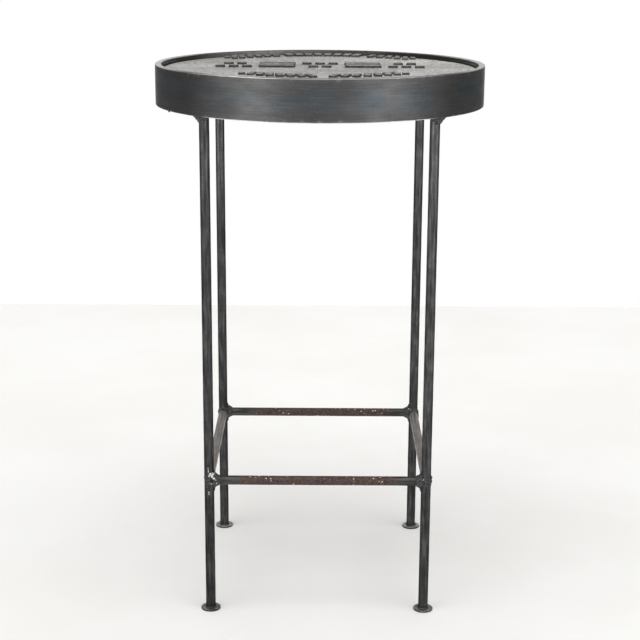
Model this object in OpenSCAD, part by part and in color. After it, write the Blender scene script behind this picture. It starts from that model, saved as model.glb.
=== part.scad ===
// Round side table whose top is a loose cast-iron access cover. The cover drops into a
// band rolled from flat bar, and four round bars carry the band. Millimetres, +Z up and
// +Y to the rear. The origin is on the floor, on the table's vertical axis.

/* [Table] */
// Height of the rim above the floor
table_h = 702; // [500:1:900]

/* [Band] */
// Outside diameter of the rolled band
band_od = 425.4; // [300:0.1:600]
// Thickness of the flat bar
band_t = 7.9; // [6:0.1:10]
// Width of the flat bar, which is the height of the band
band_h = 51.5; // [45:0.1:80]
// Width of the butt weld that closes the band
seam_w = 3; // [2:0.5:4]
// Direction of that weld, counted from the right towards the rear
seam_angle = 71.5; // [60:0.5:80]

/* [Seat] */
// Radial width of the ring that the cover sits on
seat_w = 12.7; // [10:0.1:16]
// Thickness of that ring
seat_t = 6.35; // [4:0.05:8]

/* [Cover] */
// Radial gap between the cover and the band
cover_gap = 1.6; // [1:0.1:4]
// Depth of the cover's flat surface below the rim
cover_recess = 6.4; // [5:0.1:10]
// Thickness of the cover's edge
cover_edge_t = 12.7; // [10:0.1:15]
// Thickness of the cover between the ribs under it
cover_plate_t = 8; // [6:0.5:9]
// Height of the raised pattern
lug_h = 3.2; // [1.5:0.1:4.5]

/* [Frame] */
// Diameter of the leg bars
leg_d = 12.7; // [10:0.1:16]
// Gap between a leg and the band's inner wall
leg_gap = 0.2; // [0.1:0.1:2]
// Diameter of the stretcher bars
stretcher_d = 12; // [8:0.1:12]
// Height of the stretchers' axes above the floor
stretcher_z = 180; // [120:1:240]
// Diameter of the disc under each leg
foot_d = 25.4; // [20:0.1:32]
// Thickness of that disc
foot_t = 2.4; // [2:0.1:5]

/* [Hidden] */
$fn = 240;
CORNERS = ["front_left", "front_right", "rear_left", "rear_right"];
SIDES = ["front", "rear", "left", "right"];

// Heights
band_z = table_h - band_h;
cover_z = table_h - cover_recess;
seat_z = cover_z - cover_edge_t;
leg_top = seat_z - seat_t;

// Radii
band_r = band_od / 2;
band_ir = band_r - band_t;
seat_ir = band_ir - seat_w;
cover_r = band_ir - cover_gap;
leg_r = leg_d / 2;
leg_circle = band_ir - leg_gap - leg_r;
leg_half = leg_circle / sqrt(2);
stretcher_r = stretcher_d / 2;

// The solids reach this far into each other where they make one casting
sink = 1;

// Underside of the cover
cover_chamfer = 1;
rib_t = 8;
rib_count = 8;
hub_r = 24;
rib_ring_r = 100;

// Raised pattern, in units of the cover's radius so that it scales with the cover
arc_r = cover_r * 0.94;
arc_end_r = cover_r * 0.915;
stud_w = cover_r * 0.056;
stud_d = cover_r * 0.045;
low_arc_r = cover_r * 0.748;
low_arc_y = cover_r * 0.108;
low_stud_d = cover_r * 0.06;
row_pitch = cover_r * 0.07;
motif_pitch = cover_r * 0.276;
motif_w = cover_r * 0.231;
motif_front_y = cover_r * 0.025;
motif_rear_y = cover_r * 0.23;
bar_d = cover_r * 0.05;
dash_w = motif_w * 0.26;

// Weld sizes
root_gap = 0.5;
weld_lip = 0.3;
foot_weld_leg = 3;
joint_weld_h = 14;
joint_weld_body_h = 5;
joint_weld_proud = 1.3;
joint_weld_reach = 8;
joint_weld_r = stretcher_r + 4.5;
band_weld_h = 9;
band_weld_r = 8.3;
band_weld_x = 5.4;
band_weld_tip_r = 2;
band_weld_half_w = 4;
seat_weld_leg = 5;
seat_weld_arc = 8;
seam_bead_w = 12;
seam_bead_t = 1.2;

steel = "#4b4d50";
bar_steel = "#3f4042";
rust = "#5a4238";
weld_grey = "#35363a";
iron = "#a5a29d";

// +1 or -1 along X and along Y for a corner
function corner_x(c) = c == "front_left" || c == "rear_left" ? -1 : 1;
function corner_y(c) = c == "front_left" || c == "front_right" ? -1 : 1;

// Puts its children on the axis of a leg
module at_corner(c) {
    translate([corner_x(c) * leg_half, corner_y(c) * leg_half, 0])
        children();
}

// Turns its children so that local +X points from the table's axis to the leg
module facing_out(c) {
    rotate(atan2(corner_y(c), corner_x(c)))
        children();
}

module tube(outer, inner, z0, z1) {
    translate([0, 0, z0])
        difference() {
            cylinder(r = outer, h = z1 - z0);
            translate([0, 0, -1])
                cylinder(r = inner, h = z1 - z0 + 2);
        }
}

// ---- Cover ------------------------------------------------------------------

// Raised shapes, w across and d deep, standing on the cover's flat surface
module lozenge(w, d) {
    linear_extrude(height = lug_h + sink)
        polygon([[w / 2, 0], [0, d / 2], [-w / 2, 0], [0, -d / 2]]);
}

module pill(w, d) {
    linear_extrude(height = lug_h + sink)
        union() {
            square([w - d, d], center = true);
            for (side = [-1, 1])
                translate([side * (w - d) / 2, 0])
                    circle(d = d, $fn = 32);
        }
}

// Studs side by side along an arc, from one direction to another
module stud_arc(r, from, to, count) {
    step = (to - from) / count;
    for (i = [0:count - 1])
        rotate(from + step * (i + 0.5) - 90)
            translate([0, r, 0])
                children();
}

// Two rows of studs: lozenges at both ends and pills in the middle
module upper_arc() {
    for (row = [0, 1]) {
        end_r = arc_end_r - row * row_pitch;
        stud_arc(end_r, 135.5, 108.5, 7 - row) lozenge(stud_w, stud_d);
        stud_arc(arc_r - row * row_pitch, 106, 71.5, 8) pill(stud_w, stud_d);
        stud_arc(end_r, 68.4, 44.5, 6 - row) lozenge(stud_w, stud_d);
    }
}

// Two staggered rows of lozenges on each half of the lower arc
module lower_arc() {
    translate([0, low_arc_y, 0]) {
        for (span = [[228.1, 269.4], [273.3, 317.2]]) {
            stud_arc(low_arc_r, span[0], span[1], 8) lozenge(stud_w, low_stud_d);
            stud_arc(low_arc_r - row_pitch, span[0] + 2.6, span[1] - 2.6, 7)
                lozenge(stud_w, low_stud_d);
        }
    }
}

// Three short bars at one depth and two at another, set in the gaps between the three
module motif_bricks(three_y, two_y) {
    pitch = (motif_w - dash_w) / 2;
    for (i = [-1:1])
        translate([i * pitch, three_y, 0])
            pill(dash_w, bar_d);
    for (side = [-1, 1])
        translate([side * pitch / 2, two_y, 0])
            pill(dash_w, bar_d);
}

// Three long bars, one behind another
module motif_bars() {
    for (y = [motif_front_y, (motif_front_y + motif_rear_y) / 2, motif_rear_y])
        translate([0, y, 0])
            pill(motif_w, bar_d);
}

module middle_row() {
    motif_bricks(motif_rear_y, motif_front_y);
    for (side = [-1, 1]) {
        translate([side * motif_pitch, 0, 0])
            motif_bars();
        translate([side * 2 * motif_pitch, 0, 0])
            motif_bricks(motif_front_y, motif_rear_y);
    }
}

module cover_ribs() {
    rib_h = cover_edge_t - cover_plate_t + sink;
    translate([0, 0, seat_z])
        cylinder(r = hub_r, h = rib_h);
    for (i = [0:rib_count - 1])
        rotate(i * 360 / rib_count)
            translate([hub_r - sink, -rib_t / 2, seat_z])
                cube([seat_ir - hub_r + 2 * sink, rib_t, rib_h]);
    tube(rib_ring_r + rib_t / 2, rib_ring_r - rib_t / 2, seat_z, seat_z + rib_h);
}

module cover_casting() {
    color(iron) {
        translate([0, 0, cover_z - cover_plate_t])
            cylinder(r = cover_r, h = cover_plate_t - cover_chamfer);
        translate([0, 0, cover_z - cover_chamfer])
            cylinder(r1 = cover_r, r2 = cover_r - cover_chamfer, h = cover_chamfer);
        tube(cover_r, seat_ir, seat_z, cover_z - cover_plate_t + sink);
        cover_ribs();
        translate([0, 0, cover_z - sink]) {
            upper_arc();
            middle_row();
            lower_arc();
        }
    }
}

// ---- Band and seat ----------------------------------------------------------

// The slot between the two ends of the rolled bar
module seam_slot(extra) {
    rotate(seam_angle)
        translate([band_ir - band_t, -seam_w / 2, band_z - extra])
            cube([3 * band_t, seam_w, band_h + 2 * extra]);
}

module ring_band() {
    color(steel)
        difference() {
            tube(band_r, band_ir, band_z, table_h);
            seam_slot(1);
        }
}

// Fills the slot, ground flush outside and left proud inside above the cover's seat
module band_seam_weld() {
    color(weld_grey) {
        intersection() {
            tube(band_r, band_ir, band_z, table_h);
            seam_slot(0);
        }
        intersection() {
            tube(band_ir, band_ir - seam_bead_t, seat_z + 1, table_h - 1);
            rotate(seam_angle)
                translate([band_ir - band_t, -seam_bead_w / 2, seat_z])
                    cube([2 * band_t, seam_bead_w, table_h - seat_z]);
        }
    }
}

module seat_ring() {
    color(steel)
        tube(band_ir, seat_ir, leg_top, seat_z);
}

// Short fillets under the ring, against the band's inner wall
module seat_ring_welds() {
    color(weld_grey)
        for (quarter = [0:3], side = [-1, 1])
            rotate(quarter * 90 + side * 15 - seat_weld_arc / 2)
                rotate_extrude(angle = seat_weld_arc)
                    polygon([
                        [band_ir, leg_top],
                        [band_ir - seat_weld_leg, leg_top],
                        [band_ir, leg_top - seat_weld_leg]
                    ]);
}

// ---- Legs, feet and stretchers ----------------------------------------------

module leg(c) {
    color(bar_steel)
        at_corner(c)
            translate([0, 0, foot_t])
                cylinder(r = leg_r, h = leg_top - foot_t);
}

module foot(c) {
    color(steel)
        at_corner(c)
            cylinder(d = foot_d, h = foot_t);
}

// A bar along local X, cut square just short of the legs, where weld fills the gap
module stretcher_bar() {
    length = 2 * (leg_half - leg_r - root_gap);
    translate([-length / 2, 0, stretcher_z])
        rotate([0, 90, 0])
            cylinder(r = stretcher_r, h = length);
}

module stretcher_place(s) {
    if (s == "front") translate([0, -leg_half, 0]) children();
    if (s == "rear") translate([0, leg_half, 0]) children();
    if (s == "left") translate([-leg_half, 0, 0]) rotate(90) children();
    if (s == "right") translate([leg_half, 0, 0]) rotate(90) children();
}

module stretcher(s) {
    color(rust)
        stretcher_place(s)
            stretcher_bar();
}

// ---- Welds on the frame -----------------------------------------------------

// Fillet between a leg and its foot disc
module foot_weld(c) {
    color(weld_grey)
        at_corner(c)
            translate([0, 0, foot_t])
                difference() {
                    cylinder(r1 = leg_r + foot_weld_leg, r2 = leg_r + weld_lip, h = foot_weld_leg);
                    translate([0, 0, -1])
                        cylinder(r = leg_r, h = foot_weld_leg + 2);
                }
}

// Collar of weld round a leg, thickest at the stretchers' height
module weld_sleeve() {
    slope_h = joint_weld_h - joint_weld_body_h;
    translate([0, 0, -joint_weld_h])
        cylinder(r1 = leg_r + weld_lip, r2 = leg_r + joint_weld_proud, h = slope_h);
    translate([0, 0, -joint_weld_body_h])
        cylinder(r = leg_r + joint_weld_proud, h = 2 * joint_weld_body_h);
    translate([0, 0, joint_weld_body_h])
        cylinder(r1 = leg_r + joint_weld_proud, r2 = leg_r + weld_lip, h = slope_h);
}

// Cone of weld from the leg's axis along local +X, onto a stretcher
module weld_cone() {
    rotate([0, 90, 0])
        cylinder(r1 = joint_weld_r + joint_weld_proud, r2 = stretcher_r + weld_lip,
                 h = leg_r + joint_weld_reach);
}

module joint_weld(c) {
    color(weld_grey)
        difference() {
            at_corner(c)
                translate([0, 0, stretcher_z])
                    union() {
                        weld_sleeve();
                        rotate(corner_x(c) < 0 ? 0 : 180)
                            weld_cone();
                        rotate(corner_y(c) < 0 ? 90 : -90)
                            weld_cone();
                    }
            at_corner(c)
                cylinder(r = leg_r, h = table_h);
            stretcher_place(corner_y(c) < 0 ? "front" : "rear")
                stretcher_bar();
            stretcher_place(corner_x(c) < 0 ? "left" : "right")
                stretcher_bar();
        }
}

// Weld of a leg to the band: a bead under the band's edge, a seam up the gap and a
// collar under the seat ring
module band_weld(c) {
    color(weld_grey)
        difference() {
            union() {
                facing_out(c)
                    translate([leg_circle + band_weld_x, 0, band_z - band_weld_h])
                        cylinder(r1 = band_weld_tip_r, r2 = band_weld_r, h = band_weld_h);
                intersection() {
                    cylinder(r = band_ir, h = table_h);
                    facing_out(c)
                        translate([leg_circle, 0, 0])
                            band_weld_inside();
                }
            }
            at_corner(c)
                cylinder(r = leg_r, h = table_h);
        }
}

module band_weld_inside() {
    translate([leg_r / 2, -band_weld_half_w, band_z])
        cube([leg_r, 2 * band_weld_half_w, leg_top - band_z]);
    translate([0, 0, leg_top - foot_weld_leg])
        cylinder(r1 = leg_r + weld_lip, r2 = leg_r + foot_weld_leg, h = foot_weld_leg);
}

cover_casting();
ring_band();
band_seam_weld();
seat_ring();
seat_ring_welds();
for (s = SIDES)
    stretcher(s);
for (c = CORNERS) {
    leg(c);
    foot(c);
    band_weld(c);
    joint_weld(c);
    foot_weld(c);
}
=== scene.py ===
import math
import random

import bmesh
import bpy
from mathutils import Matrix, Vector, noise


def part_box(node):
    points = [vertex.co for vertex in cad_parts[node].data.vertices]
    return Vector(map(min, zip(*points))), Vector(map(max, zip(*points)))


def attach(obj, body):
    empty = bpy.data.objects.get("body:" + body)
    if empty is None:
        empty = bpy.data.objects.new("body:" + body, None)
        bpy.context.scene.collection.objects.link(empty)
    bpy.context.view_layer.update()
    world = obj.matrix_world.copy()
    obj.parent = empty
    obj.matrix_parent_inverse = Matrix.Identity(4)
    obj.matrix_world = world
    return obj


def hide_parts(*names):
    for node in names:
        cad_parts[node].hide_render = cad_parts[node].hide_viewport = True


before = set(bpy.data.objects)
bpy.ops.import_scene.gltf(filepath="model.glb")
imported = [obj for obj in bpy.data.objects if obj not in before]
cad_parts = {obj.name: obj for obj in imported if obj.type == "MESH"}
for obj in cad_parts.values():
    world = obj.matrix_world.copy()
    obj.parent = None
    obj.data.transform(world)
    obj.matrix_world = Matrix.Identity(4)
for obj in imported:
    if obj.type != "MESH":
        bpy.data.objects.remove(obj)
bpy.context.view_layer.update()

# A round side table: a cast-iron access cover lies loose in a band of rolled flat bar,
# and a welded frame of round bars carries the band. Metres, in the CAD frame.

MM = 0.001
CORNERS = ("front_left", "front_right", "rear_left", "rear_right")
SIDES = ("front", "rear", "left", "right")

# ---- Places and sizes, from the CAD frame ----

band_low, band_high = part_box("ring_band")
seat_low, seat_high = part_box("seat_ring")
cover_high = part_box("cover_casting")[1]
leg_low, leg_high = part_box("leg_front_left")
foot_low, foot_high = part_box("foot_front_left")
stretcher_low, stretcher_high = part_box("stretcher_front")

RIM_Z, BAND_Z = band_high[2], band_low[2]
BAND_R, BAND_INNER_R = band_high[0], seat_high[0]
SEAT_Z, SEAT_UNDER_Z = seat_high[2], seat_low[2]
LEG_R, LEG_TOP = (leg_high[0] - leg_low[0]) / 2, leg_high[2]
FOOT_R, FOOT_T = (foot_high[0] - foot_low[0]) / 2, foot_high[2]
STRETCHER_Z = (stretcher_low[2] + stretcher_high[2]) / 2
STRETCHER_R = (stretcher_high[2] - stretcher_low[2]) / 2
COVER_R, COVER_TOP = cover_high[0], cover_high[2]

# What no box tells, as in part.scad
SEAT_BORE_R = BAND_INNER_R - 12.7 * MM
LUG_H = 3.2 * MM
COVER_Z = COVER_TOP - LUG_H
COVER_PLATE_T = 8 * MM
SEAM_ANGLE = math.radians(71.5)
SEAM_WIDTH = 3 * MM
UP = Vector((0, 0, 1))


def leg_axis(corner):
    """The middle of a leg, seen from above."""
    low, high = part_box("leg_" + corner)
    return ((low + high) / 2) * Vector((1, 1, 0))


LEG_AXIS = {corner: leg_axis(corner) for corner in CORNERS}

# ---- Mesh helpers ----


def wobble(point, scale, seed=0.0):
    """Smooth noise about 0 at a point. scale is the size of its bumps."""
    return noise.noise(Vector(point) / scale + Vector((seed, seed * 1.7, -seed)))


def put(name, data):
    """A new object in the scene."""
    thing = bpy.data.objects.new(name, data)
    bpy.context.scene.collection.objects.link(thing)
    return thing


def make_object(name, verts, faces):
    mesh = bpy.data.meshes.new(name)
    mesh.from_pydata([tuple(v) for v in verts], [], faces)
    mesh.validate()
    mesh.polygons.foreach_set("use_smooth", [True] * len(mesh.polygons))
    mesh.update()
    return put(name, mesh)


def finish_piece(thing, slot, material, node, body="frame", **attributes):
    """Gives a piece its material, its body, and what the material reads at its points: a list of
    numbers, or one number for them all. Hides the CAD node that it stands for."""
    for name, values in attributes.items():
        if not isinstance(values, list):
            values = [values] * len(thing.data.vertices)
        thing.data.attributes.new(name, "FLOAT", "POINT").data.foreach_set("value", values)
    thing.data.materials.append(material)
    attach(thing, body)
    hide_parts(node)


def rounded_section(inner, outer, low, high, radius, arc_steps, wall_steps):
    """Points (r, z) round a rectangle with rounded corners, anticlockwise."""
    corners = (
        (outer - radius, low + radius), (outer - radius, high - radius),
        (inner + radius, high - radius), (inner + radius, low + radius),
    )

    def on_arc(corner, degrees):
        r, z = corners[corner % 4]
        turn = math.radians(degrees)
        return r + radius * math.cos(turn), z + radius * math.sin(turn)

    points = []
    for i in range(4):
        start = 90 * i - 90
        points += [on_arc(i, start + 90 * step / arc_steps) for step in range(arc_steps + 1)]
        begin, end = points[-1], on_arc(i + 1, start + 90)
        for step in range(1, wall_steps):
            t = step / wall_steps
            points.append((begin[0] + (end[0] - begin[0]) * t, begin[1] + (end[1] - begin[1]) * t))
    return points


def swept_ring(section, segments, start=0.0, sweep=math.tau):
    """Verts and faces of a closed section (r, z) turned about Z. A part turn gets ends."""
    whole = sweep >= math.tau - 1e-9
    rows = segments if whole else segments + 1
    count = len(section)
    verts = []
    for row in range(rows):
        turn = start + sweep * row / segments
        verts += [(r * math.cos(turn), r * math.sin(turn), z) for r, z in section]
    faces = []
    for row in range(segments):
        a, b = row * count, (row + 1) % rows * count
        for i in range(count):
            j = (i + 1) % count
            faces.append((a + i, b + i, b + j, a + j))
    if not whole:
        faces.append(tuple(range(count)))
        faces.append(tuple((rows - 1) * count + i for i in reversed(range(count))))
    return verts, faces


def circle(radius, z, count):
    """Points round a level circle about Z."""
    turns = [math.tau * i / count for i in range(count)]
    return [Vector((radius * math.cos(turn), radius * math.sin(turn), z)) for turn in turns]


def solid_of_rings(rings):
    """Verts and faces of a closed solid through rings with the same number of points."""
    count = len(rings[0])
    verts = [v for ring in rings for v in ring]
    faces = []
    for row in range(len(rings) - 1):
        a, b = row * count, (row + 1) * count
        for i in range(count):
            j = (i + 1) % count
            faces.append((a + i, a + j, b + j, b + i))
    bottom, top = len(verts), len(verts) + 1
    last = (len(rings) - 1) * count
    verts += [sum(ring, Vector()) / count for ring in (rings[0], rings[-1])]
    for i in range(count):
        j = (i + 1) % count
        faces.append((j, i, bottom))
        faces.append((last + i, last + j, top))
    return verts, faces


def joined(parts):
    """Several (verts, faces) as one."""
    verts, faces = [], []
    for more_verts, more_faces in parts:
        shift = len(verts)
        verts += more_verts
        faces += [tuple(i + shift for i in face) for face in more_faces]
    return verts, faces


# ---- Camera ----

# Fitted to the photograph's proportions, in metres, degrees and millimetres
CAMERA_PLACE = (0.0019, -1.936, 0.8712)
LOOK_DOWN, ROLL = 14.858, 0.327
LENS_MM = 83.21


def make_camera():
    data = bpy.data.cameras.new("camera")
    data.lens = LENS_MM
    camera = put("camera", data)
    tilt = Matrix.Rotation(math.radians(90 - LOOK_DOWN), 4, "X")
    roll = Matrix.Rotation(math.radians(ROLL), 4, "Z")
    camera.matrix_world = Matrix.Translation(CAMERA_PLACE) @ tilt @ roll
    bpy.context.scene.camera = camera


# ---- Material helpers ----


class Nodes:
    """A node tree, with short calls that add nodes to it."""

    def __init__(self, tree):
        self.tree = tree

    def feed(self, socket, value):
        """Links an output to an input, or sets the input to a plain value."""
        if isinstance(value, bpy.types.NodeSocket):
            self.tree.links.new(value, socket)
        else:
            socket.default_value = value

    def add(self, kind, inputs=None, **settings):
        """A new node with its settings, and its named inputs linked or set."""
        node = self.tree.nodes.new("ShaderNode" + kind)
        for key, value in settings.items():
            setattr(node, key, value)
        for name, value in (inputs or {}).items():
            self.feed(node.inputs[name], value)
        return node

    def math(self, operation, *values, clamp=False):
        node = self.add("Math", operation=operation, use_clamp=clamp)
        for socket, value in zip(node.inputs, values):
            self.feed(socket, value)
        return node.outputs[0]

    def times(self, a, b):
        return self.math("MULTIPLY", a, b)

    def between(self, value, low, high, to_low=0.0, to_high=1.0, way="SMOOTHSTEP"):
        """Maps a value from low..high to another range, and holds it there."""
        inputs = {"Value": value, "From Min": low, "From Max": high, "To Min": to_low, "To Max": to_high}
        return self.add("MapRange", inputs, interpolation_type=way).outputs["Result"]

    def mix(self, share, a, b, blend="MIX"):
        """From colour a to colour b. Each is an output or three numbers."""
        colours = [c if isinstance(c, bpy.types.NodeSocket) else (*c, 1) for c in (a, b)]
        inputs = {"Factor": share, "A": colours[0], "B": colours[1]}
        return self.add("Mix", inputs, data_type="RGBA", blend_type=blend).outputs["Result"]


class Shader(Nodes):
    """A new material with a Principled node, and the textures that its look is made of."""

    def __init__(self, name):
        self.material = bpy.data.materials.new(name)
        self.material.use_nodes = True
        super().__init__(self.material.node_tree)
        self.surface = self.tree.nodes["Principled BSDF"]
        self.place = self.add("TexCoord").outputs["Object"]

    def attribute(self, name):
        return self.add("Attribute", attribute_name=name).outputs["Fac"]

    def stretched(self, scale, vector=None):
        """The object's own coordinates, or others, scaled along each axis."""
        inputs = {"Vector": vector or self.place, "Scale": scale}
        return self.add("Mapping", inputs).outputs["Vector"]

    def noise(self, scale, detail=4.0, roughness=0.55, vector=None, distortion=0.0):
        inputs = {"Vector": vector or self.place, "Scale": scale, "Detail": detail}
        inputs.update({"Roughness": roughness, "Distortion": distortion})
        return self.add("TexNoise", inputs).outputs["Fac"]

    def pits(self, scale):
        """Distance to the nearest of many scattered points."""
        inputs = {"Vector": self.place, "Scale": scale}
        return self.add("TexVoronoi", inputs, feature="F1").outputs["Distance"]

    def shaded(self, colour, share):
        """A colour times a value."""
        tone = self.add("CombineXYZ", dict.fromkeys("XYZ", share))
        return self.mix(1.0, colour, tone.outputs[0], "MULTIPLY")

    def up(self):
        """How far the surface faces up, from -1 to 1."""
        normal = self.add("NewGeometry").outputs["Normal"]
        return self.add("SeparateXYZ", {"Vector": normal}).outputs["Z"]

    def relief(self, height, depth, normal=None):
        """A bump of that depth in metres, on top of another bump."""
        inputs = {"Height": height, "Distance": depth, "Strength": 1.0}
        if normal is not None:
            inputs["Normal"] = normal
        return self.add("Bump", inputs).outputs["Normal"]

    def done(self, colour, roughness, metallic, normal):
        looks = {"Base Color": colour, "Roughness": roughness, "Metallic": metallic, "Normal": normal}
        for name, value in looks.items():
            self.feed(self.surface.inputs[name], value)
        return self.material


# ---- Materials ----

# Scales are per metre, sizes and bump depths are in metres, and colours are linear.


def mill_scale(s, broad, fine, blotches, frost, tint):
    """The colour of the band's mill scale, with a blue cast down its middle."""
    plain, lighter = (0.170, 0.167, 0.166), (0.206, 0.204, 0.204)
    bluish, brownish = (0.158, 0.184, 0.202), (0.190, 0.176, 0.166)
    colour = s.mix(s.between(broad, 0.3, 0.7), plain, lighter)
    level = s.attribute("level")
    middle = s.times(s.between(level, 0.12, 0.42), s.between(level, 0.92, 0.62))
    colour = s.mix(s.times(middle, s.between(tint, 0.36, 0.62)), colour, bluish)
    colour = s.mix(s.between(tint, 0.40, 0.28, 0.0, 0.7), colour, brownish)
    shade = s.between(fine, 0.25, 0.75, 0.87, 1.12)
    shade = s.times(shade, s.between(blotches, 0.25, 0.75, 0.82, 1.20))
    frosted = s.between(s.noise(26, 3.0), 0.45, 0.65)
    contrast = s.math("MULTIPLY_ADD", frosted, 0.55, 0.25)
    speckle = s.times(s.math("SUBTRACT", frost, 0.5), contrast)
    return s.shaded(colour, s.times(shade, s.math("ADD", speckle, 1.0)))


def band_material():
    """Flat bar with streaked mill scale: grimy inside with painted shade, brown near welds, bright where
    scuffed by rubbing, with painted highlights on its edges.
    """
    s = Shader("band_steel")
    flat = s.add("CombineXYZ", {"X": s.attribute("along"), "Y": s.attribute("across")}).outputs[0]

    def streaks(length, width, detail=3.0):
        return s.noise(1.0, detail, 0.6, s.stretched((1 / length, 1 / width, 1), flat))

    fine, frost = streaks(0.06, 0.0014), streaks(0.0035, 0.0022)
    blotches = streaks(0.045, 0.022, 5.0)
    colour = mill_scale(s, streaks(0.11, 0.014), fine, blotches, frost, streaks(0.06, 0.03, 2.0))
    # The inner wall's dark grime, with painted shade, darkest towards its left and right ends
    grime_and_shade = s.mix(s.between(blotches, 0.3, 0.7), (0.048, 0.045, 0.043), (0.072, 0.066, 0.061))
    colour = s.mix(s.times(s.attribute("inside"), 0.96), colour, grime_and_shade)

    # Near-white steel for scuffed edges, which also paints highlights of light glancing off the rim at its
    # ends and front
    heat_brown, cut_steel, rubbed_steel = (0.16, 0.085, 0.06), (0.085, 0.082, 0.079), (0.86, 0.85, 0.83)
    scuffed = s.between(streaks(0.010, 0.004), 0.30, 0.55, 0.35, 1.0)
    worn_and_glinting = s.math("MULTIPLY", s.attribute("wear_and_glint"), scuffed, clamp=True)
    dull = s.times(s.attribute("cut"), s.math("SUBTRACT", 1.0, worn_and_glinting))
    colour = s.mix(s.times(s.attribute("heat"), 0.7), colour, heat_brown)
    colour = s.mix(s.times(dull, 0.9), colour, cut_steel)
    colour = s.mix(worn_and_glinting, colour, rubbed_steel)
    s.feed(s.surface.inputs["Specular IOR Level"], s.between(dull, 0, 1, 0.5, 0.15))
    metal = s.math("SUBTRACT", s.between(worn_and_glinting, 0, 1, 0.92, 1.0), s.times(dull, 0.6))

    roughness = s.between(blotches, 0.2, 0.8, 0.38, 0.27)
    roughness = s.math("ADD", roughness, s.between(fine, 0.2, 0.8, -0.03, 0.03))
    roughness = s.math("MULTIPLY_ADD", dull, 0.22, roughness)
    normal = s.relief(fine, 0.00002)
    normal = s.relief(frost, 0.00003, normal)
    normal = s.relief(blotches, 0.00012, normal)
    return s.done(colour, roughness, metal, normal)


BAR_METAL = 0.85


def rusted(s, colour, roughness, share):
    """A bar's colour, roughness and metal with brown rust and pale specks over its middle."""
    dark_rust, light_rust, pale_speck = (0.051, 0.034, 0.028), (0.134, 0.084, 0.068), (0.78, 0.71, 0.66)
    middle = s.attribute("middle")
    amount = s.between(s.noise(190, 5.0, 0.65), 0.36, 0.58, 0.55 * share, share)
    amount = s.times(middle, amount)
    brown = s.mix(s.between(s.noise(420, 4.0, 0.6), 0.36, 0.62), dark_rust, light_rust)
    colour = s.mix(amount, colour, brown)
    specks = s.times(s.between(s.pits(240), 0.25, 0.15), middle)
    specks = s.times(specks, s.between(s.noise(75, 2.0), 0.50, 0.56, 0.0, share))
    colour = s.mix(specks, colour, pale_speck)
    roughness = s.math("ADD", roughness, s.times(amount, 0.22))
    return colour, roughness, s.between(amount, 0, 1, BAR_METAL, 0.25)


def bar_material(name, axis, dark, light, limb, rust_share=0.0):
    """Hot-rolled round bar with streaks along it. limb is how much it shines at a glancing
    angle, and rust_share is how brown its middle is."""
    s = Shader(name)
    scale = [330, 330, 330]
    scale[axis] = 26
    streak = s.noise(1.0, 4.0, 0.6, s.stretched(scale))
    patches = s.noise(55, 4.0, 0.6)
    grain = s.noise(1400, 2.0)
    colour = s.mix(s.between(streak, 0.32, 0.68), dark, light)
    colour = s.mix(s.between(patches, 0.35, 0.65, 0.0, 0.5), colour, dark)
    roughness, metal = s.between(patches, 0.3, 0.7, 0.36, 0.50), BAR_METAL
    if rust_share:
        colour, roughness, metal = rusted(s, colour, roughness, rust_share)
    colour = s.mix(s.times(s.attribute("heat"), 0.75), colour, (0.030, 0.030, 0.034))
    # The point's lightness, which up the legs is painted light: brighter high up, darker low down
    tone = s.attribute("tone")
    colour = s.shaded(colour, tone)
    polish = s.times(s.math("SUBTRACT", tone, 1.0), 0.12)
    roughness = s.math("SUBTRACT", roughness, polish)
    s.surface.inputs["Specular Tint"].default_value = (limb, limb, limb, 1)
    normal = s.relief(streak, 0.00010)
    normal = s.relief(grain, 0.00004, normal)
    return s.done(colour, roughness, metal, normal)


def cover_material():
    """Cast iron: pale on top from wearing, with a painted sheen, and dark down the sides of what stands up
    from it, patina with painted shade.
    """
    s = Shader("cover_iron")
    up = s.up()
    grain = s.noise(520, 5.0, 0.7)
    pitting = s.pits(300)
    patches = s.noise(14, 4.0, 0.55)
    smears = s.noise(45, 4.0, 0.6)
    crumbs = s.noise(170, 4.0, 0.65)
    # Facing up or not: pale tops, partly from wearing and partly a painted sheen; dark sides, partly patina
    # and partly painted shade
    flat = s.between(up, 0.35, 0.93)
    pale = s.mix(s.between(patches, 0.3, 0.7), (0.285, 0.276, 0.262), (0.415, 0.408, 0.396))
    pale = s.mix(s.between(smears, 0.52, 0.72, 0.0, 0.55), pale, (0.205, 0.190, 0.178))
    dark = s.mix(s.between(smears, 0.3, 0.7), (0.034, 0.033, 0.033), (0.080, 0.076, 0.072))
    # Crust darkens the pale share, and paints shade round the feet of the raised shapes
    crust = s.times(s.attribute("crust"), s.between(grain, 0.3, 0.6, 0.6, 1.0))
    flat = s.times(flat, s.math("SUBTRACT", 1.0, crust))
    colour = s.mix(flat, dark, pale)
    shade = s.times(s.attribute("pale"), s.between(grain, 0.3, 0.7, 0.52, 1.42))
    shade = s.times(shade, s.between(crumbs, 0.3, 0.7, 0.66, 1.27))
    colour = s.shaded(colour, shade)
    roughness = s.between(patches, 0.3, 0.7, 0.60, 0.48)
    normal = s.relief(smears, 0.0012)
    normal = s.relief(crumbs, 0.0010, normal)
    normal = s.relief(grain, 0.00045, normal)
    normal = s.relief(s.between(pitting, 0.0, 0.25), 0.00015, normal)
    return s.done(colour, roughness, 0.35, normal)


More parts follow.
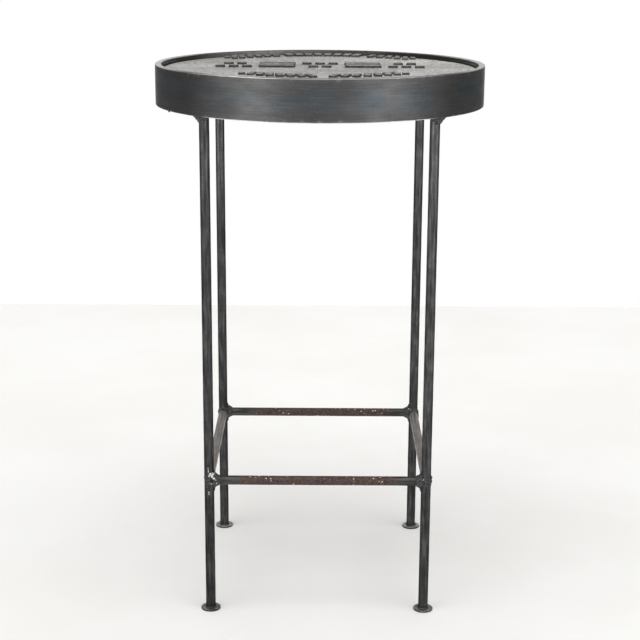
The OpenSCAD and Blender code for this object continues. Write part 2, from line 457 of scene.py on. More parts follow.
def weld_material():
    """Dark weld bead with small bright spots, spatter and painted glints, and brighter where rubbing bared it
    and where glints are painted.
    """
    s = Shader("weld_steel")
    mottled = s.noise(420, 4.0, 0.6)
    spatter_and_glints = s.noise(380, 3.0, 0.6, distortion=0.6)
    # Painted glints: bright spots on the weld, more round the listed spots
    bright = s.between(s.math("MULTIPLY_ADD", s.attribute("rubbed"), 0.17, spatter_and_glints), 0.68, 0.73)
    colour = s.mix(s.between(mottled, 0.3, 0.7), (0.040, 0.041, 0.044), (0.115, 0.114, 0.115))
    colour = s.mix(bright, colour, (0.80, 0.80, 0.79))
    roughness = s.between(bright, 0, 1, 0.48, 0.30)
    normal = s.relief(mottled, 0.0002)
    return s.done(colour, roughness, 0.9, normal)


def foot_material():
    """Plain steel washer stock, dull grey, with scuffs."""
    s = Shader("foot_steel")
    scuffs = s.noise(330, 4.0, 0.65)
    patches = s.noise(150, 3.0)
    colour = s.mix(s.between(patches, 0.32, 0.66), (0.15, 0.148, 0.143), (0.40, 0.395, 0.385))
    colour = s.mix(s.between(scuffs, 0.54, 0.64, 0.0, 0.8), colour, (0.72, 0.71, 0.69))
    colour = s.shaded(colour, s.attribute("tone"))
    colour = s.mix(s.between(s.up(), 0.9, 0.4), colour, (0.032, 0.031, 0.031))
    normal = s.relief(scuffs, 0.00015)
    return s.done(colour, s.between(scuffs, 0.3, 0.7, 0.5, 0.36), 0.8, normal)


# ---- Cover ----


def turned(outline, angle, x, y):
    c, s = math.cos(angle), math.sin(angle)
    return [Vector((x + p.x * c - p.y * s, y + p.x * s + p.y * c)) for p in outline]


def rounded_outline(signs, width, depth, radius, steps=4):
    """A convex outline that wide and deep, anticlockwise, with each corner rounded."""
    corners = [Vector((x * width / 2, y * depth / 2)) for x, y in signs]
    outline = []
    count = len(corners)
    for i in range(count):
        before, here, after = corners[i - 1], corners[i], corners[(i + 1) % count]
        way_in, way_out = (here - before).normalized(), (after - here).normalized()
        half = way_in.angle(way_out) / 2
        trim = radius * math.tan(half)
        middle = (way_out - way_in).normalized()
        centre = here + middle * radius / math.cos(half)
        first = here - way_in * trim - centre
        turn = 2 * half
        for step in range(steps + 1):
            a = turn * step / steps
            c, s = math.cos(a), math.sin(a)
            outline.append(centre + Vector((first.x * c - first.y * s, first.x * s + first.y * c)))
    return outline


def densified(outline, longest):
    """The same closed outline with no side longer than that."""
    points = []
    for i, here in enumerate(outline):
        after = outline[(i + 1) % len(outline)]
        cuts = max(1, math.ceil((after - here).length / longest))
        points += [here.lerp(after, k / cuts) for k in range(cuts)]
    return points


def lozenge(width, depth):
    return rounded_outline(((1, 0), (0, 1), (-1, 0), (0, -1)), width, depth, 1.2 * MM)


def pill(width, depth):
    return rounded_outline(((1, -1), (1, 1), (-1, 1), (-1, -1)), width, depth, depth / 2 * 0.9, 6)


# Each step of a raised shape's side: mm outside its outline, and its height as a share
RAISED_STEPS = (
    (1.1, -0.12), (0.75, 0.015), (0.45, 0.09), (0.28, 0.25), (0.16, 0.55),
    (0.05, 0.78), (-0.15, 0.90), (-0.45, 0.965), (-0.9, 1.0), (-2.0, 1.0),
)


def raised_shape(outline, seed):
    """A cast lug on the cover's flat surface: flared foot, drafted side, rounded edge."""
    outline = densified(outline, 2.5 * MM)
    count = len(outline)
    normals = []
    for i, here in enumerate(outline):
        way = outline[(i + 1) % count] - outline[i - 1]
        normals.append(Vector((way.y, -way.x)).normalized())
    middle = sum(outline, Vector((0, 0))) / count
    slimmest = min((p - middle).length for p in outline)
    rings = []
    for out, share in RAISED_STEPS:
        step_out = max(out * MM, -0.6 * slimmest)
        ring = []
        for p, n in zip(outline, normals):
            q = p + n * step_out
            rough = 0.22 * MM * wobble((q.x, q.y, share * LUG_H), 2.2 * MM, seed)
            q = q + n * rough
            z = COVER_Z + share * LUG_H
            if share > 0.5:
                z += 0.12 * MM * wobble((q.x, q.y, 0), 4 * MM, seed)
            ring.append(Vector((q.x, q.y, min(z, COVER_Z + LUG_H))))
        rings.append(ring)
    return solid_of_rings(rings)


def arc_shapes(radius, start, end, count, outline, centre_y=0.0):
    """Outlines side by side along an arc, from one direction in degrees to another."""
    shapes = []
    for i in range(count):
        turn = math.radians(start + (end - start) * (i + 0.5) / count)
        x, y = radius * math.cos(turn), centre_y + radius * math.sin(turn)
        shapes.append(turned(outline, turn - math.pi / 2, x, y))
    return shapes


# The pattern, with part.scad's numbers
STUD_W, STUD_D, LOW_STUD_D = COVER_R * 0.056, COVER_R * 0.045, COVER_R * 0.06
ROW_PITCH = COVER_R * 0.07
ARC_END_R, ARC_TOP_R = COVER_R * 0.915, COVER_R * 0.94
LOW_ARC_R, LOW_ARC_Y = COVER_R * 0.748, COVER_R * 0.108
LOW_ARC_SPANS, LOW_ARC_INSET = ((228.1, 269.4), (273.3, 317.2)), 2.6
MOTIF_PITCH, MOTIF_W = COVER_R * 0.276, COVER_R * 0.231
MOTIF_FRONT_Y, MOTIF_REAR_Y = COVER_R * 0.025, COVER_R * 0.23
MOTIF_MIDDLE_Y = (MOTIF_FRONT_Y + MOTIF_REAR_Y) / 2
BAR_D, DASH_W = COVER_R * 0.05, MOTIF_W * 0.26


def upper_arc():
    stud = lozenge(STUD_W, STUD_D)
    shapes = []
    for row in (0, 1):
        end_r, top_r = ARC_END_R - row * ROW_PITCH, ARC_TOP_R - row * ROW_PITCH
        shapes += arc_shapes(end_r, 135.5, 108.5, 7 - row, stud)
        shapes += arc_shapes(top_r, 106, 71.5, 8, pill(STUD_W, STUD_D))
        shapes += arc_shapes(end_r, 68.4, 44.5, 6 - row, stud)
    return shapes


def lower_arc():
    stud = lozenge(STUD_W, LOW_STUD_D)
    shapes = []
    for start, end in LOW_ARC_SPANS:
        inner_start, inner_end = start + LOW_ARC_INSET, end - LOW_ARC_INSET
        shapes += arc_shapes(LOW_ARC_R, start, end, 8, stud, LOW_ARC_Y)
        shapes += arc_shapes(LOW_ARC_R - ROW_PITCH, inner_start, inner_end, 7, stud, LOW_ARC_Y)
    return shapes


def brick_motif(x, three_y, two_y):
    """Three short bars at one depth, and two more in their gaps at another."""
    dash = pill(DASH_W, BAR_D)
    pitch = (MOTIF_W - DASH_W) / 2
    places = [(x + i * pitch, three_y) for i in (-1, 0, 1)]
    places += [(x + way * pitch / 2, two_y) for way in (-1, 1)]
    return [turned(dash, 0, *place) for place in places]


def bar_motif(x):
    """Three long bars, one behind another."""
    bar = pill(MOTIF_W, BAR_D)
    return [turned(bar, 0, x, y) for y in (MOTIF_FRONT_Y, MOTIF_MIDDLE_Y, MOTIF_REAR_Y)]


def middle_row():
    shapes = brick_motif(0, MOTIF_REAR_Y, MOTIF_FRONT_Y)
    for side in (-1, 1):
        shapes += bar_motif(side * MOTIF_PITCH)
        shapes += brick_motif(side * 2 * MOTIF_PITCH, MOTIF_FRONT_Y, MOTIF_REAR_Y)
    return shapes


# The cover's edge, from its flat top down its side: mm in from the side, and mm down
COVER_EDGE = ((1.5, 0), (0.8, 0.2), (0.25, 0.8), (0, 1.8), (0, 6))
TOP_RINGS, UNDER_RINGS, COVER_SEGMENTS = 60, 12, 288
RIB_COUNT, RIB_HALF_W, HUB_R, RING_RIB_R = 8, 4 * MM, 24 * MM, 100 * MM
RIB_TOP = COVER_Z - COVER_PLATE_T + 0.6 * MM


def cover_profile():
    """Points (r, z above the flat top) from the top's middle round the edge to the underside."""
    foot, bore = SEAT_Z - COVER_Z, SEAT_BORE_R
    top = [(COVER_R * i / TOP_RINGS, 0) for i in range(1, TOP_RINGS)]
    under = [(COVER_R * i / UNDER_RINGS, -COVER_PLATE_T) for i in range(UNDER_RINGS - 1, 0, -1)]
    edge = [(COVER_R - inset * MM, -down * MM) for inset, down in COVER_EDGE]
    edge += [
        (COVER_R, foot + 1 * MM), (COVER_R - 1 * MM, foot), (bore + 1 * MM, foot), (bore, foot + 1 * MM),
        (bore - 0.5 * MM, -COVER_PLATE_T - 0.8 * MM), (bore - 1.5 * MM, -COVER_PLATE_T),
    ]
    return top + edge + under


def cover_disc():
    """The plate: a slightly uneven top out to a rounded edge, and the underside."""
    rings = []
    for r, drop in reversed(cover_profile()):
        ring = circle(r, COVER_Z + drop, COVER_SEGMENTS)
        if drop == 0:
            for p in ring:
                flat = (p.x, p.y, 0)
                uneven = 0.25 * MM * wobble(flat, 45 * MM) + 0.08 * MM * wobble(flat, 9 * MM, 3)
                p.z = COVER_Z + uneven
        rings.append(ring)
    return solid_of_rings(rings)


def rib(start, end):
    """A rib under the plate, from one point to another, with drafted sides."""
    way = (end - start).normalized()
    side = Vector((-way.y, way.x))
    rings = []
    for z, extra in ((SEAT_Z, 0), (SEAT_Z + 0.6 * MM, 0.5), (RIB_TOP - 1.5 * MM, 0.8), (RIB_TOP, 2.2)):
        w = RIB_HALF_W - 0.5 * MM + extra * MM
        corners = [along + side * across for along, across in ((start, -w), (end, -w), (end, w), (start, w))]
        rings.append([Vector((p.x, p.y, z)) for p in corners])
    return solid_of_rings(rings)


def ring_rib():
    low, outer, inner = SEAT_Z + 0.05 * MM, RING_RIB_R + RIB_HALF_W, RING_RIB_R - RIB_HALF_W
    section = [
        (outer - 0.4 * MM, low), (outer, low + 0.6 * MM), (outer + 2 * MM, RIB_TOP),
        (inner - 2 * MM, RIB_TOP), (inner, low + 0.6 * MM), (inner + 0.4 * MM, low),
    ]
    return swept_ring(section, 144)


def hub():
    low = SEAT_Z + 0.05 * MM
    profile = (
        (HUB_R - 0.6 * MM, low), (HUB_R, low + 0.6 * MM), (HUB_R + 1 * MM, RIB_TOP - 1 * MM),
        (HUB_R + 2.5 * MM, RIB_TOP),
    )
    return solid_of_rings([circle(r, z, 64) for r, z in profile])


def cover_ribs():
    parts = []
    for i in range(RIB_COUNT):
        turn = math.tau * i / RIB_COUNT
        way = Vector((math.cos(turn), math.sin(turn)))
        parts.append(rib(way * (HUB_R - 3 * MM), way * (SEAT_BORE_R + 1 * MM)))
    return joined(parts + [ring_rib(), hub()])


# Where the cover is rubbed paler: place and reach in mm, and how much
PALE_SPOTS = ((125, 80, 120, 0.42), (165, -20, 90, 0.22), (10, -140, 90, 0.06), (90, -90, 80, 0.18))
PALE_EVERYWHERE = 1.04


def paleness(place):
    near = []
    for x, y, reach, share in PALE_SPOTS:
        away = math.dist(place.xy, (x * MM, y * MM))
        near.append(share * max(0.0, 1 - away / (reach * MM)))
    return PALE_EVERYWHERE + max(near)


def plate_crust(place):
    """How crusted the plate is, dark crust that also paints shade: fully on its rounded edge and on its
    underside.
    """
    if place.z < COVER_Z - LUG_H / 2:
        return 1.0
    return min(1.0, max(0.0, (place.xy.length - COVER_R + 3 * MM) / (3 * MM)))


def raised_crust(place):
    """How crusted a raised shape is, with painted shade round its foot: less on its top, scuffed clean by
    wearing.
    """
    return 0.85 if place.z < COVER_Z + 0.2 * LUG_H else 0.45


def make_cover():
    outlines = upper_arc() + middle_row() + lower_arc()
    raised = joined([raised_shape(outline, 0.37 * i) for i, outline in enumerate(outlines)])
    disc = cover_disc()
    cover = make_object("cover_piece", *joined([disc, raised, cover_ribs()]))
    first, last = len(disc[0]), len(disc[0]) + len(raised[0])
    crust, pale = [], []
    for i, v in enumerate(cover.data.vertices):
        crust.append(raised_crust(v.co) if first <= i < last else plate_crust(v.co))
        pale.append(paleness(v.co))
    finish_piece(cover, "cover_iron", cover_material(), "cover_casting", "cover", crust=crust, pale=pale)


# ---- Band and seat ----

RIM_ROUND = 1.0 * MM
BAND_SEGMENTS, SEAT_SEGMENTS = 720, 360
# How far the heat of a weld has coloured the steel
HEAT_REACH = 22 * MM
# Where the rim's edges are scuffed bright, and where painted highlights of light glancing off them lie: edge,
# direction and half-width in degrees, how much
WORN_AND_GLINT_SPANS = (
    ("top", -120, 20, 0.8), ("top", -60, 16, 0.4), ("top", 180, 38, 1.1), ("top", 0, 40, 0.95),
    ("face", -121, 12, 0.3), ("face", 180, 40, 0.7), ("face", 0, 42, 0.62), ("inner", 114, 32, 0.28),
    ("bottom", -117, 16, 1.8), ("bottom", -90, 30, 0.6), ("bottom", -61, 14, 1.2), ("bottom", 130, 40, 0.6),
)
# How bright each edge is scuffed and highlighted everywhere else
BASE_WEAR_AND_GLINT = {"top": 0.05, "face": 0.0, "bottom": 0.05, "inner": 0.0}
# The inner wall's cleaner part, where less shade is painted on it: direction and half-width in degrees, how
# much
CLEAN_AND_LIT_INNER = (108, 48, 0.8)


def fading(turn, middle, half):
    """1 in the middle direction, falling to 0 that many degrees away and below 0 beyond."""
    away = (math.degrees(turn) - middle + 180) % 360 - 180
    return 1 - (away / half) ** 2


def near_weld(point, reach):
    """1 at a leg's weld to the band and 0 beyond that reach."""
    most = 0.0
    for axis in LEG_AXIS.values():
        spot = axis.normalized() * BAND_R + UP * BAND_Z
        most = max(most, 1 - (point - spot).length / reach)
    return max(0.0, most)


def edge_wear_and_glint(edge, turn):
    """How bright an edge of the rim is scuffed, with its painted highlight, in one direction."""
    most = BASE_WEAR_AND_GLINT[edge]
    for where, middle, half, share in WORN_AND_GLINT_SPANS:
        if where == edge:
            most = max(most, share * fading(turn, middle, half))
    return most


def inner_grime_and_shade(turn):
    """How dark the band's inner wall is in one direction: grime, with painted shade that is less towards the
    back.
    """
    middle, half, share = CLEAN_AND_LIT_INNER
    return 1 - share * max(0.0, fading(turn, middle, half))


def band_zone(r, z):
    """Whether a point of the band's section is on top, at the bottom, and on an outer corner."""
    on_top, on_bottom = z > RIM_Z - RIM_ROUND * 0.9, z < BAND_Z + RIM_ROUND * 0.9
    return on_top, on_bottom, (on_top or on_bottom) and r > BAND_R - RIM_ROUND


def dented(p, corner):
    """A point of the band, sunk a little where the bar is uneven or its corner is nicked."""
    sink = 0.10 * MM * (wobble(p, 60 * MM) - 0.5)
    if corner:
        sink -= max(0.0, wobble(p, 5 * MM, 7) - 0.25) * 0.9 * MM
    return p + Vector((p.x, p.y, 0)).normalized() * min(0.0, sink)


def band_looks(p, r, z, turn):
    """What the band's material needs at a point of its section, in one direction."""
    on_top, on_bottom, corner = band_zone(r, z)
    inner = r < BAND_INNER_R + RIM_ROUND * 0.5
    heat = near_weld(p, HEAT_REACH)
    wear_and_glint = edge_wear_and_glint("inner", turn) if inner else 0.0
    cut = min(1.0, 2.5 * heat) if on_bottom else 0.0
    if on_top:
        wear_and_glint = edge_wear_and_glint("top" if corner else "face", turn)
        cut = 0.0 if corner else 1.0
    elif on_bottom and corner:
        wear_and_glint = edge_wear_and_glint("bottom", turn)
    return {
        "along": turn * BAND_R, "level": (z - BAND_Z) / (RIM_Z - BAND_Z), "heat": heat, "cut": cut,
        "inside": inner_grime_and_shade(turn) if inner else 0.0, "wear_and_glint": wear_and_glint * max(0.0, 1 - 1.6 * heat),
    }


def make_band():
    section = rounded_section(BAND_INNER_R, BAND_R, BAND_Z, RIM_Z, RIM_ROUND, 5, 10)
    across = [0.0]
    for i in range(1, len(section)):
        across.append(across[-1] + math.dist(section[i], section[i - 1]))
    half_gap = SEAM_WIDTH / 2 / BAND_R
    start, sweep = SEAM_ANGLE + half_gap, math.tau - 2 * half_gap
    verts, faces = swept_ring(section, BAND_SEGMENTS, start, sweep)
    placed, looks = [], []
    for row in range(BAND_SEGMENTS + 1):
        turn = start + sweep * row / BAND_SEGMENTS
        for i, (r, z) in enumerate(section):
            p = Vector(verts[row * len(section) + i])
            placed.append(dented(p, band_zone(r, z)[2]))
            looks.append(band_looks(p, r, z, turn))
    band = make_object("band_piece", placed, faces)
    attributes = {name: [look[name] for look in looks] for name in looks[0]}
    attributes["across"] = across * (BAND_SEGMENTS + 1)
    finish_piece(band, "band_steel", band_material(), "ring_band", **attributes)


def make_seat_ring():
    section = rounded_section(SEAT_BORE_R, BAND_INNER_R, SEAT_UNDER_Z, SEAT_Z, 0.6 * MM, 3, 3)
    ring = make_object("seat_ring_piece", *swept_ring(section, SEAT_SEGMENTS))
    material = bar_material("seat_steel", 2, (0.05, 0.05, 0.052), (0.12, 0.12, 0.122), 0.6)
    finish_piece(ring, "band_steel", material, "seat_ring", heat=0.0, tone=1.0)


# ---- Bars and feet ----

BAR_SIDES, FOOT_SIDES = 40, 64


def around(way, turn):
    """The direction square to way, that far round it."""
    side = way.orthogonal().normalized()
    return side * math.cos(turn) + way.cross(side) * math.sin(turn)


def bar_rings(start, end, radius, step, seed, end_round=0.6 * MM):
    """Rings of a slightly uneven round bar between two points."""
    way = (end - start).normalized()
    length = (end - start).length
    places = [(0, radius - end_round), (0.3 * end_round, radius - 0.3 * end_round), (end_round, radius)]
    count = max(2, round((length - 2 * end_round) / step))
    places += [(end_round + (length - 2 * end_round) * i / count, radius) for i in range(1, count)]
    places += [(length - d, r) for d, r in reversed(places[:3])]
    rings = []
    for distance, r in places:
        centre = start + way * distance
        ring = []
        for i in range(BAR_SIDES):
            out = around(way, math.tau * i / BAR_SIDES)
            p = centre + out * r
            dent = 0.10 * MM * wobble(p, 14 * MM, seed) + 0.04 * MM * wobble(p, 3 * MM, seed + 5)
            ring.append(p + out * min(0.03 * MM, dent - 0.03 * MM))
        rings.append(ring)
    return rings


# How light each leg is, and how light a leg is painted at a height: painted light, lighter towards the top
# where the upper legs catch more light, darker low down
LEG_TONES = {"front_left": 0.91, "front_right": 1.14, "rear_left": 1.08, "rear_right": 1.10}
HEIGHT_LIGHT = ((0.0, 0.62), (0.15, 0.66), (0.30, 0.92), (0.45, 1.0), (0.6, 1.7), (0.66, 2.2), (0.8, 2.25))
# How light the feet are: darker at the front, lighter at the rear
FOOT_TONES = {"front": 0.70, "rear": 1.2}


def height_tone(height):
    for (low, before), (high, after) in zip(HEIGHT_LIGHT, HEIGHT_LIGHT[1:]):
        if height <= high:
            return before + (after - before) * max(0.0, (height - low) / (high - low))
    return HEIGHT_LIGHT[-1][1]


def make_leg(corner, material):
    axis = LEG_AXIS[corner]
    start, end = axis + UP * FOOT_T, axis + UP * LEG_TOP
    verts, faces = solid_of_rings(bar_rings(start, end, LEG_R, 4 * MM, CORNERS.index(corner)))
    leg = make_object("leg_piece_" + corner, verts, faces)
    heat = []
    for v in verts:
        nearest = min(abs(v[2] - STRETCHER_Z), abs(v[2] - BAND_Z), v[2] + 8 * MM)
        heat.append(max(0.0, 1 - max(0.0, nearest - 10 * MM) / HEAT_REACH))
    # Each leg's own lightness times painted light by height, brighter towards the top
    tone = [LEG_TONES[corner] * height_tone(v[2]) for v in verts]
    finish_piece(leg, "leg_steel", material, "leg_" + corner, heat=heat, tone=tone)


def stretcher_ends(side):
    low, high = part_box("stretcher_" + side)
    axis = 0 if side in ("front", "rear") else 1
    start, end = (low + high) / 2, (low + high) / 2
    start[axis], end[axis] = low[axis], high[axis]
    return start, end, axis


def make_stretcher(side, materials):
    start, end, axis = stretcher_ends(side)
    rings = bar_rings(start, end, STRETCHER_R, 3 * MM, 11 + SIDES.index(side), 0.4 * MM)
    verts, faces = solid_of_rings(rings)
    stretcher = make_object("stretcher_piece_" + side, verts, faces)
    half = (end - start).length / 2
    middle, heat = [], []
    for v in verts:
        from_end = half - abs(v[axis])
        ragged = from_end + 14 * MM * wobble(v, 12 * MM, 2)
        middle.append(min(1.0, max(0.0, (ragged - 26 * MM) / (16 * MM))))
        heat.append(min(1.0, max(0.0, 1 - (from_end - 6 * MM) / HEAT_REACH)))
    looks = {"middle": middle, "heat": heat, "tone": 1.0}
    finish_piece(stretcher, "stretcher_steel", materials[axis], "stretcher_" + side, **looks)


def make_foot(corner, material):
    axis = LEG_AXIS[corner]
    profile = (
        (0.0, FOOT_R - 0.5 * MM), (0.15 * MM, FOOT_R - 0.15 * MM), (0.5 * MM, FOOT_R),
        (FOOT_T - 0.7 * MM, FOOT_R), (FOOT_T - 0.3 * MM, FOOT_R - 0.15 * MM),
        (FOOT_T - 0.05 * MM, FOOT_R - 0.6 * MM), (FOOT_T, FOOT_R - 1.4 * MM), (FOOT_T, LEG_R),
    )
    rings = []
    for z, r in profile:
        ring = []
        for out in circle(1, 0, FOOT_SIDES):
            p = axis + out * r + UP * z
            ring.append(p + out * min(0.0, 0.25 * MM * wobble(p, 6 * MM, 4)))
        rings.append(ring)
    foot = make_object("foot_piece_" + corner, *solid_of_rings(rings))
    tone = FOOT_TONES[corner.split("_")[0]]
    finish_piece(foot, "foot_steel", material, "foot_" + corner, tone=tone)


# ---- Welds ----


def fused(name, drops, voxel):
    """One mesh round overlapping drops of weld, each a place and a radius, softened a little."""
    bm = bmesh.new()
    for centre, radius in drops:
        bmesh.ops.create_icosphere(bm, subdivisions=2, radius=radius, matrix=Matrix.Translation(centre))
    mesh = bpy.data.meshes.new(name)
    bm.to_mesh(mesh)
    bm.free()
    rough = put(name + "_rough", mesh)
    fuse = rough.modifiers.new("fuse", "REMESH")
    fuse.mode = "VOXEL"
    fuse.voxel_size = voxel
    soften = rough.modifiers.new("soften", "SMOOTH")
    soften.iterations = 3
    soften.factor = 0.5
    graph = bpy.context.evaluated_depsgraph_get()
    done = bpy.data.meshes.new_from_object(rough.evaluated_get(graph))
    bpy.data.objects.remove(rough)
    done.name = name
    done.polygons.foreach_set("use_smooth", [True] * len(done.polygons))
    return done


def make_weld(name, drops, material, node, voxel=0.55 * MM, limit=None, rubbed=()):
    """A lumpy bead of fused drops, kept where limit puts its points. The last argument lists the
    places painted bright, bare metal and painted glints, each with its reach and how much."""
    done = fused(name, drops, voxel)
    places = [v.co + v.normal * 0.25 * MM * wobble(v.co, 1.6 * MM) for v in done.vertices]
    if limit:
        places = [limit(place) for place in places]
    done.vertices.foreach_set("co", [c for place in places for c in place])
    weld = put(name, done)
    rubs_and_glints = []
    for place in places:
        near = [share * min(1.0, 2 - 2 * (place - spot).length / reach) for spot, reach, share in rubbed]
        rubs_and_glints.append(max([0.0] + near))
    finish_piece(weld, "weld_steel", material, node, rubbed=rubs_and_glints)


def round_bar_drops(centre, way, radius, size, steps, dice):
    """Drops round a bar that runs along way."""
    drops = []
    for i in range(steps):
        out = around(way, math.tau * i / steps + dice.uniform(-0.08, 0.08))
        place = centre + out * (radius + dice.uniform(-0.2, 0.3) * MM)
        drops.append((place, size * dice.uniform(0.85, 1.15)))
    return drops


# Bright spots on the joint welds, bare metal and painted glints on their fronts: place from the middle of the
# joint and reach in mm, how much
RUBBED_AND_GLINT_SPOTS = {
    "front_left": (
        (4, -7, 10, 7, 1.35), (6, -7, 6, 5, 1.1), (9, -6, 1, 4, 0.5), (3, -8, -1, 5, 0.5),
        (2, -7, -9, 5, 0.8), (0, -7, 14, 4, 1.5), (0, -7, 18, 4, 1.5), (0, -7, -14, 4, 1.4),
        (0, -7, -17, 4, 1.4),
    ),
    "front_right": ((-7, -7, 5, 5, 0.5), (-3, -8, 1, 6, 0.6), (-9, -6, -4, 4, 0.5)),
    "rear_left": ((6, -6, -5, 5, 0.6), (1, -8, 6, 4, 0.4)),
    "rear_right": ((-6, -7, 6, 5, 0.7), (-2, -8, 2, 5, 0.6), (-9, -5, -2, 4, 0.5)),
}


# Beads round each stretcher's end: mm from the leg, mm outside the stretcher, size, count
END_BEADS = ((0.8, 0.6, 3.1, 16), (4.2, 0.1, 1.9, 16), (6.8, -0.1, 1.0, 20))
# Beads round the leg, and drops up and down in its corners with the stretchers: mm above the
# stretchers' middle, and size
LEG_BEADS = ((-8.0, 1.0), (-4.5, 1.4), (-1.5, 1.6), (1.5, 1.6), (4.5, 1.4), (8.0, 1.0))
FILLET_DROPS = ((-14.5, 1.0), (-13, 1.5), (-11, 2.0), (-9, 2.4), (9, 2.4), (11, 1.9), (12.5, 1.2))
# How far inside the legs' outer sides these drops stay, in mm
TUCKED_BY = {"front_left": 2.2, "front_right": 0.8, "rear_left": 2.2, "rear_right": 1.4}
# A patch of weld on the front left leg above its joint: place from the joint's middle, and size
PATCH_DROPS = (
    (7.5, -3.5, 8.5, 2.0), (5.5, -4.8, 10, 2.0), (3.5, -5.4, 11, 1.8), (1.5, -5.8, 10, 1.7),
    (4.5, -5.2, 7, 2.2), (2, -5.8, 6.5, 2.0), (-0.5, -6, 8, 1.4),
)
# Two thin runs of weld on the front of that leg: mm above its joint's middle
RUN_DROPS = (13.0, 14.3, 15.6, 16.9, 18.2, -12.6, -13.9, -15.2, -16.5, -17.8)


def front_left_drops(centre, dice):
    """The runs and the patch that only the front left joint has."""
    drops = []
    for lift in RUN_DROPS:
        place = centre + Vector((dice.uniform(-0.8, 0.2) * MM, 0.1 * MM - LEG_R, lift * MM))
        drops.append((place, dice.uniform(0.75, 1.0) * MM))
    for x, y, z, size in PATCH_DROPS:
        drops.append((centre + Vector((x, y, z)) * MM, size * MM))
    return drops


def make_joint_weld(corner, material):
    """Where two stretchers meet a leg: beads round both bars, and down and up the leg."""
    dice = random.Random("joint " + corner)
    axis = LEG_AXIS[corner]
    centre = axis + UP * STRETCHER_Z
    drops = []
    for way in (Vector((-math.copysign(1, axis.x), 0, 0)), Vector((0, -math.copysign(1, axis.y), 0))):
        for out, wider, size, count in END_BEADS:
            place = centre + way * (LEG_R + out * MM)
            drops += round_bar_drops(place, way, STRETCHER_R + wider * MM, size * MM, count, dice)
        for lift, size in FILLET_DROPS:
            drops.append((centre + way * (LEG_R - 0.2 * MM) + UP * lift * MM, size * MM))
    for lift, size in LEG_BEADS:
        drops += round_bar_drops(centre + UP * lift * MM, UP, LEG_R - 0.4 * MM, size * MM, 15, dice)
    outer_x = abs(axis.x) + LEG_R - TUCKED_BY[corner] * MM
    for place, _ in drops:
        place.x = max(-outer_x, min(outer_x, place.x))
    if corner == "front_left":
        drops += front_left_drops(centre, dice)
    rubbed = []
    for x, y, z, reach, share in RUBBED_AND_GLINT_SPOTS[corner]:
        rubbed.append((centre + Vector((x, y, z)) * MM, reach * MM, share))
    make_weld("joint_weld_piece_" + corner, drops, material, "joint_weld_" + corner, rubbed=rubbed)


# Rows of a band weld: height from the band's edge, reach out from the leg, and size, in mm
BAND_BEAD_ROWS = (
    (0.2, 6.7, 1.5), (-0.5, 5.0, 1.6), (-1.2, 3.6, 2.5), (-2.6, 2.5, 2.4), (-4.4, 1.4, 2.1), (-6.2, 0.5, 1.7),
    (-7.8, 0.0, 1.2),
)
SPATTER_ANGLE = math.radians(-152)


def make_band_weld(corner, material):
    """A leg's weld to the band: a bead under the band's edge, and up the gap inside."""
    dice = random.Random("band " + corner)
    axis = LEG_AXIS[corner]
    outward = axis.normalized()
    sideways = Vector((-outward.y, outward.x, 0))
    drops = []
    for lift, reach, size in BAND_BEAD_ROWS:
        spread = 75 if lift > -3 else 50
        for i in range(9):
            turn = math.radians(-spread + 2 * spread * i / 8)
            out = outward * math.cos(turn) + sideways * math.sin(turn)
            place = axis + out * (LEG_R + reach * MM * math.cos(turn) ** 0.5) + UP * (BAND_Z + lift * MM)
            drops.append((place, size * MM * dice.uniform(0.85, 1.12)))
    for i in range(11):
        for way in (-1, 1):
            place = axis + outward * (LEG_R - 0.6 * MM) + sideways * way * 3 * MM
            place.z = BAND_Z + (LEG_TOP - BAND_Z) * i / 10 - 1 * MM
            drops.append((place, 1.9 * MM * dice.uniform(0.85, 1.1)))
    drops += round_bar_drops(axis + UP * (LEG_TOP - 1 * MM), UP, LEG_R + 0.2 * MM, 1.8 * MM, 16, dice)
    if corner == "front_left":
        out = Vector((math.cos(SPATTER_ANGLE), math.sin(SPATTER_ANGLE), 0))
        drops.append((out * (BAND_R - 1.6 * MM) + UP * (BAND_Z - 0.5 * MM), 1.3 * MM))
    make_weld("band_weld_piece_" + corner, drops, material, "band_weld_" + corner)


def make_foot_weld(corner, material):
    dice = random.Random("foot " + corner)
    centre = LEG_AXIS[corner] + UP * (FOOT_T + 0.5 * MM)
    drops = round_bar_drops(centre, UP, LEG_R + 0.1 * MM, 1.1 * MM, 24, dice)
    drops += round_bar_drops(centre + UP * 0.7 * MM, UP, LEG_R - 0.2 * MM, 0.7 * MM, 24, dice)
    make_weld("foot_weld_piece_" + corner, drops, material, "foot_weld_" + corner, 0.45 * MM)


def make_seat_welds(material):
    """Eight short fillets under the seat ring, against the band."""
    dice = random.Random("seat")
    r, z = BAND_INNER_R - 1.5 * MM, SEAT_UNDER_Z - 1.3 * MM
    drops = []
    for middle in (-15, 15, 75, 105, 165, 195, 255, 285):
        for i in range(9):
            turn = math.radians(middle - 4 + i)
            place = (r * math.cos(turn), r * math.sin(turn), z)
            drops.append((place, 2.4 * MM * dice.uniform(0.85, 1.1)))
    make_weld("seat_welds_piece", drops, material, "seat_ring_welds", 0.6 * MM)


def inside_the_band(place):
    reach = min(1.0, (BAND_R - 0.06 * MM) / place.xy.length)
    return Vector((place.x * reach, place.y * reach, min(max(place.z, BAND_Z), RIM_Z)))


